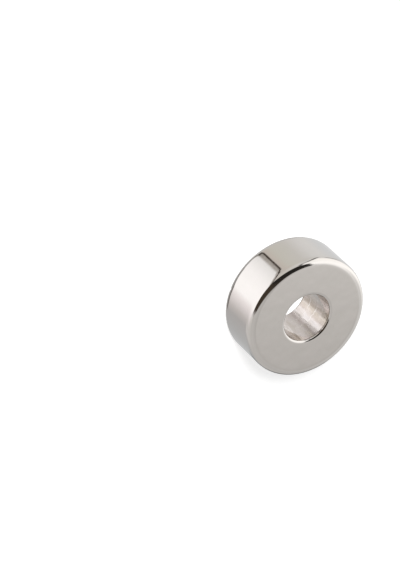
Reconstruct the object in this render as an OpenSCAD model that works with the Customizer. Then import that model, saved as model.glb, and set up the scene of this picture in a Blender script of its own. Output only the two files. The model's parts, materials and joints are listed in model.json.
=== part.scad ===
// Ring magnet: one sintered ring, ground flat on both faces, tumbled and nickel plated.
// It lies on one face with its axis along Z. The origin is the centre of the lower face.
// All sizes are in millimetres, taken over the plating.

/* [Ring] */
// Diameter over the rim
outer_d = 13; // [8:0.1:60]
// Diameter of the bore
bore_d = 5; // [1.5:0.1:7.5]
// Thickness from face to face
thickness = 5; // [1.5:0.1:40]

/* [Edges] */
// Radius that tumbling leaves on the two edges of the rim
rim_edge_r = 0.5; // [0.05:0.05:3]
// Radius left on the two edges of the bore, where the tumbling media reach less well
bore_edge_r = 0.3; // [0.05:0.05:3]

/* [Hidden] */

// Facets of a full circle
$fn = 180;

rim_r = outer_d / 2;
bore_r = bore_d / 2;
// Material between the bore and the rim
wall = rim_r - bore_r;

// Least flat left on each face and least straight length left on each wall
min_land = 0.1;
// Longest radius that two edges facing each other across the thickness can share
longest_edge = (thickness - min_land) / 2;
// Share of both radii that the two edges of one face have room for
edge_share = min(1, (wall - min_land) / (rim_edge_r + bore_edge_r));
rim_round = min(rim_edge_r * edge_share, longest_edge);
bore_round = min(bore_edge_r * edge_share, longest_edge);

// Radius at which the two sides of the section meet, midway along the flat of a face
middle_r = (bore_r + bore_round + rim_r - rim_round) / 2;

// One side of the section: from middle_r to the wall at wall_r, with both of that wall's
// edges rounded by edge_r. It works outwards to the rim and inwards to the bore alike.
module rounded_side(wall_r, edge_r) {
    side = wall_r > middle_r ? 1 : -1;
    arc_r = wall_r - side * edge_r;
    // Full thickness, from the middle to the centres of the edge arcs
    translate([min(middle_r, arc_r), 0])
        square([abs(arc_r - middle_r), thickness]);
    // Straight wall between the two edge arcs
    translate([min(arc_r, wall_r), edge_r])
        square([edge_r, thickness - 2 * edge_r]);
    // Edge arcs, tangent to the wall and to the lower and upper face
    for (arc_z = [edge_r, thickness - edge_r])
        translate([arc_r, arc_z])
            circle(edge_r);
}

// Half of the ring, cut through its axis
module ring_section() {
    rounded_side(rim_r, rim_round);
    rounded_side(bore_r, bore_round);
}

// The ring magnet, in bright nickel
module ring_magnet() {
    color([0.73, 0.71, 0.69])
        rotate_extrude()
            ring_section();
}

ring_magnet();
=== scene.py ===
"""Ring magnet in bright nickel, lying on a white table inside a light tent.

Every length is in metres, in the CAD model's frame: the ring lies on its lower face, its axis is Z and
the origin is the centre of that face. Azimuths are in degrees from the camera's side, -Y, towards +X.
"""
import json
import math

import bmesh
import bpy
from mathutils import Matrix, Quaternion, Vector


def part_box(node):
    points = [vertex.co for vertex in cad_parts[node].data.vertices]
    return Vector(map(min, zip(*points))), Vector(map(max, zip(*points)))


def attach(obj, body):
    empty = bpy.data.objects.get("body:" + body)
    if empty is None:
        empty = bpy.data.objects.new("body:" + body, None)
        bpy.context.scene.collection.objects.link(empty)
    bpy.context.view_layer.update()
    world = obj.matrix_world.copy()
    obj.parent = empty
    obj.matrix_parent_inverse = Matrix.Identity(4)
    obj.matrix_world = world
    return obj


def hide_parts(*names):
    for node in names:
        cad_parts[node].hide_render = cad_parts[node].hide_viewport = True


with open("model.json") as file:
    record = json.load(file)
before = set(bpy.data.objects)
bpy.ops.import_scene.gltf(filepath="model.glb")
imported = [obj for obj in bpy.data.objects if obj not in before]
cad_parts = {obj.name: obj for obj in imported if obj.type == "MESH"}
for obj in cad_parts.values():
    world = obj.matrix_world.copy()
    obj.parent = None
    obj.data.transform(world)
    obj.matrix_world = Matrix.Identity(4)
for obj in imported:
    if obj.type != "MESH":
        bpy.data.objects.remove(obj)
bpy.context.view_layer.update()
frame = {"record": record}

MM = 0.001

# ---------------------------------------------------------------- the ring's sizes
NODE = "ring_magnet"
MOUNTS = {m["name"]: m for m in frame["record"]["mounts"]}
RIM_R = MOUNTS["rim"]["dims"]["r_mm"] * MM
BORE_R = MOUNTS["bore"]["dims"]["r_mm"] * MM
LOW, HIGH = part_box(NODE)
THICKNESS = HIGH[2] - LOW[2]
RIM_EDGE = (THICKNESS - MOUNTS["rim"]["dims"]["length_mm"] * MM) / 2
BORE_EDGE = (THICKNESS - MOUNTS["bore"]["dims"]["length_mm"] * MM) / 2
CENTRE = Vector((0, 0, THICKNESS / 2))

# ---------------------------------------------------------------- the camera
VIEW_ELEVATION = math.radians(46.68)
VIEW_DISTANCE = 481 * MM
VIEW_ROLL = math.radians(133.93)
# The ring sits to one side of the picture, so the camera aims beside it
AIM = Vector((4.842, -6.033, -2.935)) * MM
LENS = 311.0
CLIP_NEAR, CLIP_FAR = 0.01, 5


def make_camera():
    """A long lens that looks down on the upper face, turned about its line of sight."""
    data = bpy.data.cameras.new("camera")
    data.lens = LENS
    data.clip_start, data.clip_end = CLIP_NEAR, CLIP_FAR
    camera = bpy.data.objects.new("camera", data)
    bpy.context.scene.collection.objects.link(camera)
    back = Vector((0, -math.cos(VIEW_ELEVATION), math.sin(VIEW_ELEVATION)))
    camera.location = CENTRE + VIEW_DISTANCE * back
    camera.rotation_mode = "QUATERNION"
    look = (AIM - camera.location).to_track_quat("-Z", "Y")
    camera.rotation_quaternion = look @ Quaternion((0, 0, 1), VIEW_ROLL)
    bpy.context.scene.camera = camera


# ---------------------------------------------------------------- helpers
def polar(radius, azimuth, z=0.0):
    """A point at a radius and an azimuth in degrees."""
    turn = math.radians(azimuth)
    return Vector((radius * math.sin(turn), -radius * math.cos(turn), z))


def link(name, mesh):
    """A new object at the origin that holds the mesh."""
    thing = bpy.data.objects.new(name, mesh)
    bpy.context.scene.collection.objects.link(thing)
    return thing


def new_tree(owner):
    """An empty node tree on a material or a world."""
    owner.use_nodes = True
    tree = owner.node_tree
    tree.nodes.clear()
    return tree


def put(tree, socket, value):
    """Feeds a socket from another socket, a number or a colour."""
    if isinstance(value, bpy.types.NodeSocket):
        tree.links.new(value, socket)
    else:
        socket.default_value = value


def calc(tree, what, *values):
    """One Math node."""
    node = tree.nodes.new("ShaderNodeMath")
    node.operation = what
    for socket, value in zip(node.inputs, values):
        put(tree, socket, value)
    return node.outputs[0]


def clamp(tree, value, low, high):
    """The value, held between low and high."""
    return calc(tree, "MINIMUM", calc(tree, "MAXIMUM", value, low), high)


def past(tree, value, start):
    """How far the value is past start, and 0 before it."""
    return calc(tree, "MAXIMUM", calc(tree, "SUBTRACT", value, start), 0)


def fade(tree, value, start, end, low=0.0, high=1.0):
    """Eases from low at start to high at end."""
    node = tree.nodes.new("ShaderNodeMapRange")
    node.interpolation_type = "SMOOTHSTEP"
    entries = {"Value": value, "From Min": start, "From Max": end, "To Min": low, "To Max": high}
    for name, entry in entries.items():
        put(tree, node.inputs[name], entry)
    return node.outputs["Result"]


def band(tree, value, low, high, soft_low, soft_high):
    """1 between low and high, falling to 0 over a soft border centred on each."""
    rise = fade(tree, value, low - soft_low, low + soft_low)
    fall = fade(tree, value, high - soft_high, high + soft_high, 1, 0)
    return calc(tree, "MULTIPLY", rise, fall)


def blend(tree, mask, below, above):
    """The colour above where the mask is 1, over the colour below."""
    node = tree.nodes.new("ShaderNodeMix")
    node.data_type = "RGBA"
    put(tree, node.inputs[0], mask)
    for socket, value in ((node.inputs[6], below), (node.inputs[7], above)):
        if isinstance(value, tuple) and len(value) == 3:
            value = (*value, 1)
        put(tree, socket, value)
    return node.outputs[2]


def ramp(tree, place, stops):
    """A colour ramp read at place, from pairs of position and colour that run from 0 to 1."""
    node = tree.nodes.new("ShaderNodeValToRGB")
    node.color_ramp.interpolation = "LINEAR"
    entries = node.color_ramp.elements
    for position, _ in stops[1:-1]:
        entries.new(position)
    for entry, (_, colour) in zip(entries, stops):
        entry.color = colour
    tree.links.new(place, node.inputs[0])
    return node


# ---------------------------------------------------------------- the ring
STEPS = 480
# The flats and the walls, which are the section's long edges, are cut into short steps
LONG_EDGE, FLAT_STEP = 1 * MM, 0.05 * MM
RIM_SEGMENTS, BORE_SEGMENTS = 14, 10
# Rounds of smoothing that ease each edge into the flats beside it, and how far a point moves in each
RIM_BLEND, BORE_BLEND, SMOOTHING = 30, 3, 0.5
# Smoothing widens a corner, so each starts tighter than it ends
RIM_START, BORE_START = 0.84, 0.66
# The bore runs this much wide of its nominal size
BORE_EASE = 0.04 * MM
# Well inside a flat or a wall, one point in so many is kept
SPARE_MARGIN = 0.5 * MM
KEPT_ON_FACE, KEPT_ON_WALL = 12, 10
MERGE = 1e-7

# The dent in the rim's lower edge
DENT_AZIMUTH = 28.5
DENT_HEIGHT, DENT_INSET = 0.14 * MM, 0.12 * MM
DENT_REACH, DENT_DEPTH = 0.3 * MM, 0.09 * MM


def section(bm):
    """Half of the ring, cut through its axis: a rectangle with its corners rounded."""
    bore = BORE_R + BORE_EASE
    corners = ((bore, 0, 0), (RIM_R, 0, 0), (RIM_R, 0, THICKNESS), (bore, 0, THICKNESS))
    bm.faces.new([bm.verts.new(corner) for corner in corners])
    rim_edge, bore_edge = RIM_EDGE * RIM_START, BORE_EDGE * BORE_START
    for x, rounding, segments in ((RIM_R, rim_edge, RIM_SEGMENTS), (bore, bore_edge, BORE_SEGMENTS)):
        ends = [v for v in bm.verts if abs(v.co.x - x) < MERGE]
        bmesh.ops.bevel(bm, geom=ends, offset=rounding, offset_type="OFFSET", affect="VERTICES",
                        segments=segments, profile=0.5, material=-1)
    bmesh.ops.delete(bm, geom=list(bm.faces), context="FACES_ONLY")
    for edge in [e for e in bm.edges if e.calc_length() > LONG_EDGE]:
        cuts = round(edge.calc_length() / FLAT_STEP) - 1
        bmesh.ops.subdivide_edges(bm, edges=[edge], cuts=cuts)
    middle = (BORE_R + RIM_R) / 2
    outer = [v for v in bm.verts if v.co.x > middle]
    inner = [v for v in bm.verts if v.co.x <= middle]
    for rounds, chosen in ((RIM_BLEND, outer), (BORE_BLEND, inner)):
        for _ in range(rounds):
            bmesh.ops.smooth_vert(bm, verts=chosen, factor=SMOOTHING, use_axis_x=True, use_axis_z=True)


def is_spare(point):
    """Points of the section that are well inside a flat or a wall, where fewer will do."""
    inner, outer = BORE_R + BORE_EDGE, RIM_R - RIM_EDGE
    if inner + SPARE_MARGIN < point.x < outer - SPARE_MARGIN:
        return round((point.x - inner) / FLAT_STEP) % KEPT_ON_FACE != 0
    on_wall = RIM_EDGE + SPARE_MARGIN < point.z < THICKNESS - RIM_EDGE - SPARE_MARGIN
    return on_wall and round(point.z / FLAT_STEP) % KEPT_ON_WALL != 0


def dent(bm):
    """Pushes a small dent into the rim's edge, towards the middle of the section."""
    spot = polar(RIM_R - DENT_INSET, DENT_AZIMUTH, DENT_HEIGHT)
    inwards = (polar((RIM_R + BORE_R) / 2, DENT_AZIMUTH, THICKNESS / 2) - spot).normalized()
    for vert in bm.verts:
        away = (vert.co - spot).length / DENT_REACH
        if away < 1:
            vert.co += inwards * DENT_DEPTH * (1 - away * away) ** 2


def ring_mesh():
    """The section spun round the axis."""
    bm = bmesh.new()
    section(bm)
    bmesh.ops.dissolve_verts(bm, verts=[v for v in bm.verts if is_spare(v.co)])
    bmesh.ops.spin(bm, geom=list(bm.verts) + list(bm.edges), cent=(0, 0, 0), axis=(0, 0, 1), dvec=(0, 0, 0),
                   angle=math.tau, steps=STEPS, use_merge=True, use_duplicate=False)
    bmesh.ops.remove_doubles(bm, verts=bm.verts, dist=MERGE)
    bmesh.ops.recalc_face_normals(bm, faces=bm.faces)
    dent(bm)
    for face in bm.faces:
        face.smooth = True
    mesh = bpy.data.meshes.new("nickel_ring")
    bm.to_mesh(mesh)
    bm.free()
    return mesh


# ---------------------------------------------------------------- nickel
PLATING = (0.651, 0.621, 0.591)
CLOUD_DARK, CLOUD_LIGHT = (0.645, 0.617, 0.585), (0.657, 0.625, 0.597)
STAIN, SCORED = (0.62, 0.565, 0.525), (0.80, 0.77, 0.73)

# The bore's painted highlight and painted shade down each generator: azimuth, then red, green and blue
# beside the plating's, then satin
BORE_PAINTED_LIGHT = (
    (0, 1.0, 1.0, 1.0, 0), (90, 1.18, 1.17, 1.13, 0), (112, 1.12, 1.1, 1.08, 0),
    (124, 1.36, 1.32, 1.32, 0), (136, 1.05, 1.02, 1.03, 0), (148, 1.06, 1.02, 1.06, 0.1),
    (157, 0.98, 0.95, 1.0, 0.5), (161, 0.91, 0.87, 0.91, 0.9), (165, 1.12, 1.07, 1.11, 1),
    (169, 1.45, 1.4, 1.43, 0.9), (173, 1.27, 1.24, 1.27, 0.5), (178, 1.08, 1.06, 1.08, 0.1),
    (185, 1.0, 0.97, 0.98, 0), (188, 0.93, 0.88, 0.86, 0), (190, 0.80, 0.74, 0.70, 0),
    (200, 0.84, 0.78, 0.71, 0), (204, 0.82, 0.77, 0.70, 0), (208, 0.62, 0.58, 0.52, 0),
    (214, 0.70, 0.67, 0.61, 0), (222, 1.02, 1.0, 0.96, 0), (232, 1.0, 0.98, 0.96, 0),
    (246, 0.88, 0.86, 0.84, 0), (300, 1.0, 1.0, 1.0, 0), (360, 1.0, 1.0, 1.0, 0))
# How far the streaks wander sideways, in radians, and the scored rings up and down, in millimetres
STREAK_WANDER, RING_WANDER = 0.10, 0.5
# Heights of two scored rings in millimetres: from, to, and their soft borders
SCORED_RINGS = ((2.60, 2.70, 0.05, 0.05), (1.43, 1.51, 0.04, 0.04))
# The part of the bore's wall that darkens upwards: radians past +Y, and their soft borders
WASH_SIDE = (math.radians(42), math.radians(80), 0.08, 0.15)
WASH_TOP, WASH_FOOT, WASH_DEPTH = 4.0, 1.6, 0.09

# Noise patterns: scale along X, Y and Z, smaller where a pattern is drawn out, then scale per millimetre,
# detail, roughness and distortion
EVEN = (1, 1, 1)
WANDER = (1, 1, 0.4), 2.2, 3, 0.6
FINE_RINGS = (0.25, 0.25, 1), 5.0, 3, 0.7, 0.4
WORN = EVEN, 1.7, 2
CLOUD = EVEN, 0.7, 3, 0.6
PATCHES = (1, 1, 0.35), 1.9, 3, 0.55
HAZE = EVEN, 2.2, 4, 0.6
SATIN = (1, 1, 0.25), 3.0, 3, 0.6
WAVES = EVEN, 0.7, 1, 0.4
GRAIN = EVEN, 9, 3, 0.6
STREAKS = (1, 1, 0.05), 3.6, 2, 0.55
RINGS = (0.12, 0.12, 1), 2.6, 3, 0.65, 0.3
NOISE_MEAN = 0.5
# Where a pattern of 0 to 1 starts and ends to show, and what it eases between if not 0 and 1
FINE_RINGS_SHOW, WORN_SHOWS = (0.56, 0.70, 0, 0.45), (0.42, 0.6, 0.15, 0.8)
CLOUD_SHOWS, PATCHES_SHOW = (0.3, 0.7), (0.42, 0.7)
# The same for the roughness of the rim and the bore, and what full satin adds to it
HAZE_SHOWS, SATIN_SHOWS = (0.35, 0.75, 0.035, 0.075), (0.3, 0.7, 0.13, 0.22)
SATIN_ROUGHNESS = 0.16

# Depths of relief: slow waves, fine grain, and the bore's streaks, with its rings at a share of them
WAVE_DEPTH, GRAIN_DEPTH, STREAK_DEPTH = 0.003 * MM, 0.00015 * MM, 0.011 * MM
RING_SHARE = 0.5
# Past the bore's wall the bore's look gives way to the rim's, in millimetres
LOOK_FROM, LOOK_TO = 0.01, 0.07


def millimetres(tree):
    """Object coordinates in millimetres."""
    coord = tree.nodes.new("ShaderNodeTexCoord")
    return scaled(tree, coord.outputs["Object"], 1 / MM)


def scaled(tree, vector, factor):
    """A vector or a colour times one number."""
    node = tree.nodes.new("ShaderNodeVectorMath")
    node.operation = "SCALE"
    tree.links.new(vector, node.inputs[0])
    put(tree, node.inputs["Scale"], factor)
    return node.outputs[0]


def stretch(tree, place, x, y, z):
    """Coordinates scaled along each axis, so that a texture is drawn out along the smaller ones."""
    node = tree.nodes.new("ShaderNodeVectorMath")
    node.operation = "MULTIPLY"
    tree.links.new(place, node.inputs[0])
    node.inputs[1].default_value = (x, y, z)
    return node.outputs[0]


def length(tree, vector):
    """The length of a vector."""
    node = tree.nodes.new("ShaderNodeVectorMath")
    node.operation = "LENGTH"
    tree.links.new(vector, node.inputs[0])
    return node.outputs["Value"]


def noise(tree, place, drawn, scale, detail, roughness=0.5, distortion=0.0):
    """A noise pattern of 0 to 1."""
    if drawn != EVEN:
        place = stretch(tree, place, *drawn)
    node = tree.nodes.new("ShaderNodeTexNoise")
    tree.links.new(place, node.inputs["Vector"])
    entries = {"Scale": scale, "Detail": detail, "Roughness": roughness, "Distortion": distortion}
    for name, value in entries.items():
        node.inputs[name].default_value = value
    return node.outputs["Fac"]


def bump(tree, height, depth, normal=None):
    """Relief whose height of 0 to 1 stands for depth in metres."""
    node = tree.nodes.new("ShaderNodeBump")
    node.inputs["Strength"].default_value = 1
    node.inputs["Distance"].default_value = depth
    tree.links.new(height, node.inputs["Height"])
    if normal:
        tree.links.new(normal, node.inputs["Normal"])
    return node.outputs["Normal"]


def bore_painted_light_and_rings(tree, place):
    """The bore's colour: painted highlight and painted shade by azimuth that wander like streaks, scored
    rings, and how satin it is.
    """
    split = tree.nodes.new("ShaderNodeSeparateXYZ")
    tree.links.new(place, split.inputs[0])
    x, y, height = split.outputs
    # the painted highlight and shade wander a little on their way down, like streaks
    turn = calc(tree, "ARCTAN2", calc(tree, "MULTIPLY", x, -1.0), y)
    wander = calc(tree, "SUBTRACT", noise(tree, place, *WANDER), NOISE_MEAN)
    turn = calc(tree, "MULTIPLY_ADD", wander, STREAK_WANDER, turn)
    # a ramp by azimuth paints a bright highlight band and darker shade down the bore's generators
    stops = []
    for azimuth, *painted_tone, satin in BORE_PAINTED_LIGHT:
        stops.append((azimuth / 360, (*(level * part for level, part in zip(PLATING, painted_tone)), satin)))
    streaks = ramp(tree, calc(tree, "MULTIPLY_ADD", turn, 1 / math.tau, 0.5), stops)
    # one side of the wall darkens upwards
    wash = fade(tree, height, WASH_TOP, WASH_FOOT, -WASH_DEPTH, WASH_DEPTH)
    wash = calc(tree, "MULTIPLY_ADD", band(tree, turn, *WASH_SIDE), wash, 1)
    painted_tone = scaled(tree, streaks.outputs["Color"], wash)
    # scored rings, lighter than the wall: fine ones all over, and two that stand out
    fine = fade(tree, noise(tree, place, *FINE_RINGS), *FINE_RINGS_SHOW)
    height = calc(tree, "MULTIPLY_ADD", wander, RING_WANDER, height)
    plain = calc(tree, "MAXIMUM", *(band(tree, height, *ring) for ring in SCORED_RINGS))
    worn = fade(tree, noise(tree, place, *WORN), *WORN_SHOWS)
    plain = calc(tree, "MULTIPLY", plain, worn)
    score = calc(tree, "MAXIMUM", fine, plain)
    return blend(tree, score, painted_tone, SCORED), streaks.outputs["Alpha"]


def nickel():
    """Bright nickel over a ground and tumbled sinter, duller and streaked in the bore, where highlight and
    shade are painted into its colour.
    """
    mat = bpy.data.materials.new("bright_nickel")
    tree = new_tree(mat)
    out = tree.nodes.new("ShaderNodeOutputMaterial")
    shader = tree.nodes.new("ShaderNodeBsdfPrincipled")
    tree.links.new(shader.outputs[0], out.inputs["Surface"])
    shader.inputs["Metallic"].default_value = 1
    place = millimetres(tree)
    wall = (BORE_R + BORE_EASE) / MM
    in_bore = fade(tree, length(tree, stretch(tree, place, 1, 1, 0)), wall + LOOK_TO, wall + LOOK_FROM)

    # colour: a faint cloudiness in the plating, and in the bore stains over painted highlight and painted
    # shade
    cloud = fade(tree, noise(tree, place, *CLOUD), *CLOUD_SHOWS)
    tint = blend(tree, cloud, CLOUD_DARK, CLOUD_LIGHT)
    painted_light_and_rings, dull = bore_painted_light_and_rings(tree, place)
    patches = fade(tree, noise(tree, place, *PATCHES), *PATCHES_SHOW)
    bore_stains_and_painted_light = blend(tree, patches, painted_light_and_rings, STAIN)
    tree.links.new(blend(tree, in_bore, tint, bore_stains_and_painted_light), shader.inputs["Base Color"])

    # roughness: bright outside with a faint haze, satin in the bore
    outside = fade(tree, noise(tree, place, *HAZE), *HAZE_SHOWS)
    inside = fade(tree, noise(tree, place, *SATIN), *SATIN_SHOWS)
    inside = calc(tree, "MULTIPLY_ADD", dull, SATIN_ROUGHNESS, inside)
    node = tree.nodes.new("ShaderNodeMix")
    tree.links.new(in_bore, node.inputs[0])
    tree.links.new(outside, node.inputs[2])
    tree.links.new(inside, node.inputs[3])
    tree.links.new(node.outputs[0], shader.inputs["Roughness"])

    # relief: slow waves left by grinding and tumbling, fine grain, and the bore's streaks and rings
    waves = bump(tree, noise(tree, place, *WAVES), WAVE_DEPTH)
    grain = bump(tree, noise(tree, place, *GRAIN), GRAIN_DEPTH, waves)
    streaks = noise(tree, place, *STREAKS)
    relief = calc(tree, "MULTIPLY_ADD", noise(tree, place, *RINGS), RING_SHARE, streaks)
    relief = calc(tree, "SUBTRACT", relief, NOISE_MEAN * (1 + RING_SHARE))
    relief = calc(tree, "MULTIPLY", relief, in_bore)
    tree.links.new(bump(tree, relief, STREAK_DEPTH, grain), shader.inputs["Normal"])
    return mat


def make_ring():
    """The one piece: the plated ring."""
    ring = link("nickel_ring", ring_mesh())
    ring.data.materials.append(nickel())
    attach(ring, "root")
    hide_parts(NODE)


# ---------------------------------------------------------------- the stage
TABLE_R, TABLE_SEGMENTS = 3, 64
TABLE_WHITE, GLOW_WHITE = (0.8, 0.8, 0.8, 1), (1, 1, 1, 1)
TABLE_ROUGHNESS = 0.9
# The table's own glow beside the ring and far from it, and the painted light added under the bore to lift
# the shade the bore casts there
GLOW_NEAR, GLOW_FAR, BORE_SHADE_LIFT = 0.58, 0.84, 0.52
GLOW_FROM, GLOW_TO, UNDER_SOFT = 18 * MM, 120 * MM, 1 * MM

KEY_SIZE = 60 * MM
KEY_ENERGY = 0.25
KEY_PLACE = polar(137 * MM, -15.5, 145 * MM)


def make_table():
    """A white table that takes the shadow, and that the ring doesn't reflect."""
    bm = bmesh.new()
    bmesh.ops.create_circle(bm, cap_ends=True, segments=TABLE_SEGMENTS, radius=TABLE_R)
    mesh = bpy.data.meshes.new("table")
    bm.to_mesh(mesh)
    bm.free()
    table = link("table", mesh)
    table.visible_glossy = False
    mat = bpy.data.materials.new("white_table")
    tree = new_tree(mat)
    out = tree.nodes.new("ShaderNodeOutputMaterial")
    shader = tree.nodes.new("ShaderNodeBsdfPrincipled")
    tree.links.new(shader.outputs[0], out.inputs["Surface"])
    shader.inputs["Base Color"].default_value = TABLE_WHITE
    shader.inputs["Roughness"].default_value = TABLE_ROUGHNESS
    shader.inputs["Specular IOR Level"].default_value = 0
    shader.inputs["Emission Color"].default_value = GLOW_WHITE
    # the table glows, more far from the lamp and where the bore would otherwise shade it
    coord = tree.nodes.new("ShaderNodeTexCoord")
    radius = length(tree, coord.outputs["Object"])
    under = fade(tree, radius, BORE_R, BORE_R + UNDER_SOFT, BORE_SHADE_LIFT, 0)
    glow = fade(tree, radius, GLOW_FROM, GLOW_TO, GLOW_NEAR, GLOW_FAR)
    tree.links.new(calc(tree, "ADD", glow, under), shader.inputs["Emission Strength"])
    table.data.materials.append(mat)


def make_key():
    """The large lamp above the camera's left shoulder that gives the faint shadow."""
    data = bpy.data.lights.new("key", "AREA")
    data.shape = "DISK"
    data.size = KEY_SIZE
    data.energy = KEY_ENERGY
    lamp = bpy.data.objects.new("key", data)
    bpy.context.scene.collection.objects.link(lamp)
    lamp.location = KEY_PLACE
    lamp.rotation_mode = "QUATERNION"
    lamp.rotation_quaternion = (CENTRE - lamp.location).to_track_quat("-Z", "Y")
    lamp.visible_glossy = False
    lamp.visible_camera = False


# ---------------------------------------------------------------- the tent, by direction
# Degrees throughout. az and el are azimuth and elevation, as seen from the ring. over runs from +Y up over
# the ring and down to the camera, and side is off to the right of that circle.

# The light's strength: ramps stop at 1, so every brightness is stored divided by it
TENT_GAIN = 2.0
CAMERA_SEES, DIFFUSE_SEES = 1.1, 0.32


def grey(level, warm=0.0, pink=0.0):
    """A brightness of the tent, tinted warm or pink."""
    level = level / TENT_GAIN
    return (level * (1 + warm + pink), level, level * (1 - warm + pink))


# Brightness all round at three heights: (azimuth, brightness, warm, pink)
LOW_ROW = (
    (-180, 0.78, 0, 0), (-173, 0.80, 0, 0), (-167, 0.84, 0, 0), (-154, 0.80, -0.02, 0),
    (-132, 0.85, -0.02, 0), (-110, 0.93, 0, 0), (-94, 0.91, 0, 0), (-72, 0.80, 0.02, -0.01),
    (-46, 0.78, 0.04, -0.03), (-35, 0.72, 0.07, 0), (-24, 0.69, 0.04, 0), (4, 0.6, 0, 0),
    (9, 1.41, -0.01, 0.01), (30, 1.5, -0.01, 0.01), (47, 1.48, -0.01, 0.01), (58, 1.16, 0.01, 0.03),
    (66, 1.0, 0.01, 0.03), (80, 0.72, 0.02, 0.02), (92, 0.59, 0, 0.01), (125, 0.60, -0.02, 0),
    (160, 0.63, -0.02, 0), (168, 0.60, -0.02, 0), (175, 0.70, 0, 0), (180, 0.78, 0, 0))
MIDDLE_ROW = (
    (-180, 0.78, 0, 0), (-168, 0.87, 0, 0), (-158, 1.2, 0, 0), (-144, 1.6, 0, 0), (-130, 1.52, 0, 0),
    (-104, 1.46, 0.01, 0), (-82, 1.44, 0.01, 0), (-74, 1.2, 0.01, 0), (-64, 0.82, 0, 0),
    (-50, 0.9, 0.01, 0), (-26, 0.80, 0.04, -0.02), (-13, 0.78, 0.05, 0), (4, 0.6, 0, 0),
    (9, 1.46, 0, 0.01), (20, 1.54, 0, 0.01), (46, 1.45, 0, 0.01), (54, 1.12, 0, 0.02),
    (64, 0.84, 0.02, 0), (80, 0.74, 0.01, 0), (104, 0.71, 0.01, 0), (120, 0.68, 0.01, 0),
    (150, 0.67, 0.01, 0), (168, 0.63, 0, 0), (175, 0.70, 0, 0), (180, 0.78, 0, 0))
HIGH_ROW = (
    (-180, 0.80, 0, 0), (-176, 0.98, 0, 0), (-170, 1.32, 0, 0), (-160, 1.5, 0, 0), (-146, 1.55, 0, 0),
    (-118, 1.5, 0, 0), (-92, 1.35, 0, 0), (-78, 1.32, 0.01, 0), (-70, 0.8, 0.02, 0), (-40, 0.66, 0.03, 0),
    (-10, 0.6, 0.05, 0), (4, 0.6, 0, 0), (9, 1.3, 0.01, 0), (36, 1.3, 0.01, 0), (50, 0.7, 0.05, 0),
    (80, 0.69, 0.01, 0), (150, 0.70, 0.01, 0), (172, 0.66, 0.01, 0), (180, 0.72, 0.01, 0))
# Elevations over which each row gives way to the one above it
LOW_TO_MIDDLE, MIDDLE_TO_HIGH = (-32, 9), (40, 48.5)

# A patch is a colour and its borders in two directions, here az and el. A border is (low, high, how soft
# the low end is, how soft the high end is).
# At the right of the white panel the cloth is lighter than at its foot
RIGHT_CLOTH = grey(0.78, 0.01), (78, 101, 10, 9), (-45.3, 10, 1, 15)
# A dark drape hangs low behind the ring
DRAPE = grey(0.08), (147, 175.5, 12, 2.5), (-46.35, 0, 0.3, 12)
# The corner where the white panel's two seams meet
CORNER = grey(0.10, 0.1), (-30.5, -21.5, 1.5, 1.5), (-55, -47.8, 2.5, 0.5)
SOFTBOX_TAIL = grey(0.42), (-118, -97, 4, 3), (-30, -20, 4, 4)

# The ground below the ring, darker at the right and lighter at the left: borders in az
GROUND_FROM, GROUND_TO = -48.5, -58
GROUND, GROUND_RIGHT, GROUND_LEFT = grey(0.60), grey(0.46), grey(0.78)
RIGHT_GROUND, LEFT_GROUND = (40, 105, 25, 20), (-96, -20, 30, 12)

# How far along over the upper face looks, and the patch of cloth it sees there: borders in over and side
FACE_OVER = 47.3
FACE_BORDERS = (42.5, 53, 2, 3), (-2.4, 3.5, 1.4, 1.5)
FACE_DARK, FACE_LIGHT = grey(0.572, 0.015), grey(0.915, 0.01)
# The patch turns light towards the left across a bent line: where it lies, its reach and how soft it is
FACE_LINE, FACE_LEAST, FACE_MOST, FACE_SOFT = 0.6, -1.6, 1.3, 3.2

# The white panel: its brightness at the left and the right, and its borders in seam, az and el
WHITE_FROM, WHITE_TO = -40, 20
WHITE_LEFT, WHITE_RIGHT = grey(1.05, -0.01), grey(1.45, -0.01, 0.01)
WHITE_BORDERS = (-8.7, 90, 3.2, 1), (-70, 13, 5, 1.5), (-58, 75, 8, 5)
# The seam at its left leans, is hooked below HOOK_EL, and nods to the right above it
SEAM_LEAN = -0.27
HOOK_EL, HOOK_SLOPE = -47, 1.5
NOD_EL, NOD_RISE, NOD_SLOPE = -47.1, 2.8, 1.8
NOD_MORE = (-40, -25, 0, 3.4)
# Patches in seam and el: the grey strip between seam and panel, the seam, and its wider part above the hook
STRIP = grey(0.56, 0.05), (-16, -8, 1.2, 1), (-58, 60, 8, 5)
SEAM = grey(0.05, 0.25), (-19.3, -15.8, 1.2, 1.2), (-60, 60, 2, 5)
SEAM_HEAD = grey(0.05, 0.25), (-17.5, -14.3, 1.2, 1.2), (-46.9, -20, 0.5, 5)
# The seam along its foot rises with az up to a limit, and climbs at the right: a patch in az and foot
FOOT_RISE, FOOT_LIMIT = 0.08, 4.0
CLIMB_AZ, CLIMB_RUN, CLIMB_SLOPE = 30, 20, -0.18
FOOT_SEAM = grey(0.12, 0.1), (-25, 96, 2.5, 4), (-61.5, -56.5, 1.5, 1.4)

# The seam beside the softbox at the left: bowed below BOW_EL, and bent higher up
BOW_EL, BOW = 8, 0.011
BENDS = ((22, -0.11), (46, 1.4))
SHIFTS = (2, 20, 0, 3.6), (27, 42, 0, 6.5)
# Patches in seam and el: the seam, and its wider part towards the gap for the lens
SOFTBOX_SEAM = grey(0.11, 0.03), (-75.2, -69.6, 1.6, 1.6), (-28, 75, 7, 5)
SOFTBOX_HEAD = grey(0.20, 0.03), (-76.5, -70, 1.6, 1.6), (30, 75, 7, 5)

# The gap for the lens, nearly black at the left and brown at the right
GAP_LEFT, GAP_RIGHT = grey(0.024, 0.1), grey(0.052, 0.28)
HUE_FROM, HUE_TO = -4, 2
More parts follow.
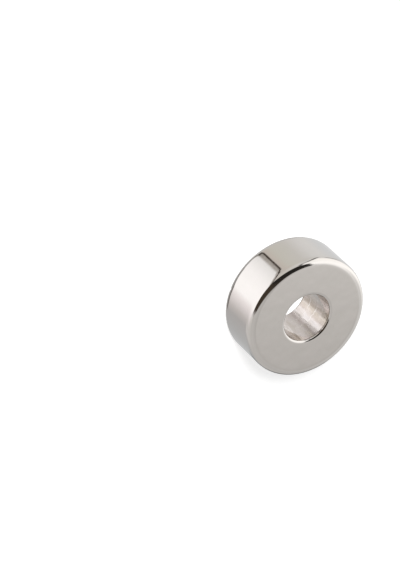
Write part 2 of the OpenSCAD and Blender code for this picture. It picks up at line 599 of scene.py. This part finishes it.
# Its left border is a line that fans out from where the face looks: its slope, less at the head and more
# past the zenith
FAN = (-0.90, -0.73)
FAN_HIGH, FAN_HEAD = (72, 92, 0, 0.20), (51, 60, 0.11, 0)
# Its right border is the nearest of a curve and two straight lines
CURVE_OVER, CURVE, CURVE_SLOPE = 51, 0.0165, 0.06
LINES = ((0.63, -33.6), (0.35, -2.3))
SOFT_NEAR, SOFT_FAR = (51, 78, 1.0, 2.5), (84, 110, 0, 5)
# Its head lies just above what the face looks at, lower at the left
HEAD, HEAD_SOFT = (-2.3, -1.2, 48.3, 50.2), 4.2
# Its foot follows side by a slope and a curve, and is lower at the right
FOOT_OVER = (146, 156, 1, 0)
FOOT_SLOPE, LEFT_SLOPE, LEFT_CURVE = 0.10, -0.55, 0.031
FOOT_DROPS = (-8, 0, 0, 6), (2, 25, 0, 6.5)


def row(tree, az, stops):
    """The tent's cloth and panels at one height."""
    turn = calc(tree, "MULTIPLY_ADD", az, 1 / 360, 0.5)
    stops = [((azimuth + 180) / 360, (*grey(*look), 1)) for azimuth, *look in stops]
    return ramp(tree, turn, stops).outputs[0]


def panel(tree, below, colour, *borders):
    """A patch of colour that lies inside every border, each a value and its limits."""
    mask = band(tree, *borders[0])
    for border in borders[1:]:
        mask = calc(tree, "MULTIPLY", mask, band(tree, *border))
    return blend(tree, mask, below, colour)


def patch(tree, below, look, across, up):
    """A panel from a colour and two borders, one for the value across and one for the value up."""
    colour, border_across, border_up = look
    return panel(tree, below, colour, (across, *border_across), (up, *border_up))


def cloth(tree, az, el):
    """The tent's walls, and its ground below the ring."""
    seen = blend(tree, fade(tree, el, *LOW_TO_MIDDLE), row(tree, az, LOW_ROW), row(tree, az, MIDDLE_ROW))
    seen = blend(tree, fade(tree, el, *MIDDLE_TO_HIGH), seen, row(tree, az, HIGH_ROW))
    seen = patch(tree, seen, RIGHT_CLOTH, az, el)
    ground = blend(tree, band(tree, az, *RIGHT_GROUND), GROUND, GROUND_RIGHT)
    ground = blend(tree, band(tree, az, *LEFT_GROUND), ground, GROUND_LEFT)
    return blend(tree, fade(tree, el, GROUND_FROM, GROUND_TO), seen, ground)


def face_patch(tree, seen, over, side):
    """The patch of cloth that the upper face looks at, lighter towards the left."""
    line = calc(tree, "ABSOLUTE", calc(tree, "SUBTRACT", over, FACE_OVER))
    line = calc(tree, "SUBTRACT", calc(tree, "SUBTRACT", FACE_LINE, line), side)
    line = clamp(tree, line, FACE_LEAST, FACE_MOST)
    colour = blend(tree, fade(tree, line, -FACE_SOFT, FACE_SOFT), FACE_DARK, FACE_LIGHT)
    return patch(tree, seen, (colour, *FACE_BORDERS), over, side)


def white_panel(tree, seen, az, el):
    """The white panel in front, the dark seam at its left, and the one along its foot."""
    hook = calc(tree, "MINIMUM", calc(tree, "SUBTRACT", el, HOOK_EL), 0)
    nod = clamp(tree, calc(tree, "SUBTRACT", el, NOD_EL), 0, NOD_RISE)
    nod = calc(tree, "MULTIPLY_ADD", nod, NOD_SLOPE, fade(tree, el, *NOD_MORE))
    seam = calc(tree, "MULTIPLY_ADD", el, SEAM_LEAN, calc(tree, "MULTIPLY_ADD", hook, HOOK_SLOPE, az))
    seam = calc(tree, "SUBTRACT", seam, nod)
    white = blend(tree, fade(tree, az, WHITE_FROM, WHITE_TO), WHITE_LEFT, WHITE_RIGHT)
    borders = [(value, *border) for value, border in zip((seam, az, el), WHITE_BORDERS)]
    seen = patch(tree, seen, STRIP, seam, el)
    seen = panel(tree, seen, white, *borders)
    seen = patch(tree, seen, SEAM, seam, el)
    seen = patch(tree, seen, SEAM_HEAD, seam, el)
    seen = patch(tree, seen, CORNER, az, el)
    climb = clamp(tree, calc(tree, "SUBTRACT", az, CLIMB_AZ), 0, CLIMB_RUN)
    rise = calc(tree, "MINIMUM", calc(tree, "MULTIPLY", az, FOOT_RISE), FOOT_LIMIT)
    foot = calc(tree, "MULTIPLY_ADD", climb, CLIMB_SLOPE, calc(tree, "SUBTRACT", el, rise))
    return patch(tree, seen, FOOT_SEAM, az, foot)


def softbox_seam(tree, seen, az, el):
    """The dark seam beside the softbox at the left, and the softbox's tail."""
    bow = calc(tree, "POWER", calc(tree, "MINIMUM", calc(tree, "SUBTRACT", el, BOW_EL), 0), 2)
    seam = calc(tree, "MULTIPLY_ADD", bow, BOW, az)
    for start, slope in BENDS:
        seam = calc(tree, "MULTIPLY_ADD", past(tree, el, start), slope, seam)
    shift = calc(tree, "ADD", *(fade(tree, el, *step) for step in SHIFTS))
    seam = calc(tree, "SUBTRACT", seam, shift)
    seen = patch(tree, seen, SOFTBOX_SEAM, seam, el)
    seen = patch(tree, seen, SOFTBOX_HEAD, seam, el)
    return patch(tree, seen, SOFTBOX_TAIL, az, el)


def lens_gap(tree, seen, over, side):
    """The dark gap for the lens, which widens from above the ring down to the camera."""
    # left border
    slope = calc(tree, "DIVIDE", side, calc(tree, "MAXIMUM", calc(tree, "SUBTRACT", over, FACE_OVER), 1))
    slope = calc(tree, "SUBTRACT", slope, fade(tree, over, *FAN_HIGH))
    slope = calc(tree, "ADD", slope, fade(tree, over, *FAN_HEAD))
    mask = fade(tree, slope, *FAN)
    # right border
    along = calc(tree, "SUBTRACT", over, CURVE_OVER)
    reach = calc(tree, "MULTIPLY", calc(tree, "POWER", along, 2), CURVE)
    reach = calc(tree, "MULTIPLY_ADD", calc(tree, "MAXIMUM", along, 1), CURVE_SLOPE, reach)
    for line in LINES:
        reach = calc(tree, "MINIMUM", reach, calc(tree, "MULTIPLY_ADD", over, *line))
    beyond = calc(tree, "SUBTRACT", side, reach)
    soft = calc(tree, "ADD", fade(tree, over, *SOFT_NEAR), fade(tree, over, *SOFT_FAR))
    mask = calc(tree, "MULTIPLY", mask, fade(tree, beyond, calc(tree, "MULTIPLY", soft, -1.0), soft, 1, 0))
    # head
    start = fade(tree, side, *HEAD)
    mask = calc(tree, "MULTIPLY", mask, fade(tree, over, start, calc(tree, "ADD", start, HEAD_SOFT)))
    # foot
    left = calc(tree, "MINIMUM", side, 0)
    foot = calc(tree, "MULTIPLY_ADD", calc(tree, "ABSOLUTE", side), FOOT_SLOPE, over)
    bent = calc(tree, "MULTIPLY_ADD", left, LEFT_CURVE, LEFT_SLOPE)
    foot = calc(tree, "MULTIPLY_ADD", left, bent, foot)
    for drop in FOOT_DROPS:
        foot = calc(tree, "SUBTRACT", foot, fade(tree, side, *drop))
    mask = calc(tree, "MULTIPLY", mask, fade(tree, foot, *FOOT_OVER))
    gap = blend(tree, fade(tree, side, HUE_FROM, HUE_TO), GAP_LEFT, GAP_RIGHT)
    return blend(tree, mask, seen, gap)


def tent(tree):
    """What polished nickel sees of the tent: cloth, white panels, dark seams and the gap for the lens."""
    coord = tree.nodes.new("ShaderNodeTexCoord")
    split = tree.nodes.new("ShaderNodeSeparateXYZ")
    tree.links.new(coord.outputs["Generated"], split.inputs[0])
    x, y, z = split.outputs
    az = calc(tree, "DEGREES", calc(tree, "ARCTAN2", x, calc(tree, "MULTIPLY", y, -1.0)))
    el = calc(tree, "DEGREES", calc(tree, "ARCSINE", z))
    over = calc(tree, "DEGREES", calc(tree, "ARCTAN2", z, y))
    side = calc(tree, "DEGREES", calc(tree, "ARCSINE", x))

    seen = cloth(tree, az, el)
    seen = face_patch(tree, seen, over, side)
    seen = patch(tree, seen, DRAPE, az, el)
    seen = white_panel(tree, seen, az, el)
    seen = softbox_seam(tree, seen, az, el)
    return lens_gap(tree, seen, over, side)


def make_world():
    """The tent for reflections only; the camera sees plain white and rough surfaces an even grey."""
    world = bpy.data.worlds.new("studio")
    bpy.context.scene.world = world
    tree = new_tree(world)
    out = tree.nodes.new("ShaderNodeOutputWorld")
    light = tree.nodes.new("ShaderNodeBackground")
    path = tree.nodes.new("ShaderNodeLightPath")
    colour = blend(tree, path.outputs["Is Glossy Ray"], grey(DIFFUSE_SEES), tent(tree))
    colour = blend(tree, path.outputs["Is Camera Ray"], colour, grey(CAMERA_SEES))
    tree.links.new(colour, light.inputs["Color"])
    light.inputs["Strength"].default_value = TENT_GAIN
    tree.links.new(light.outputs[0], out.inputs["Surface"])


bpy.context.scene.view_settings.view_transform = "Standard"
make_camera()
make_ring()
make_table()
make_key()
make_world()
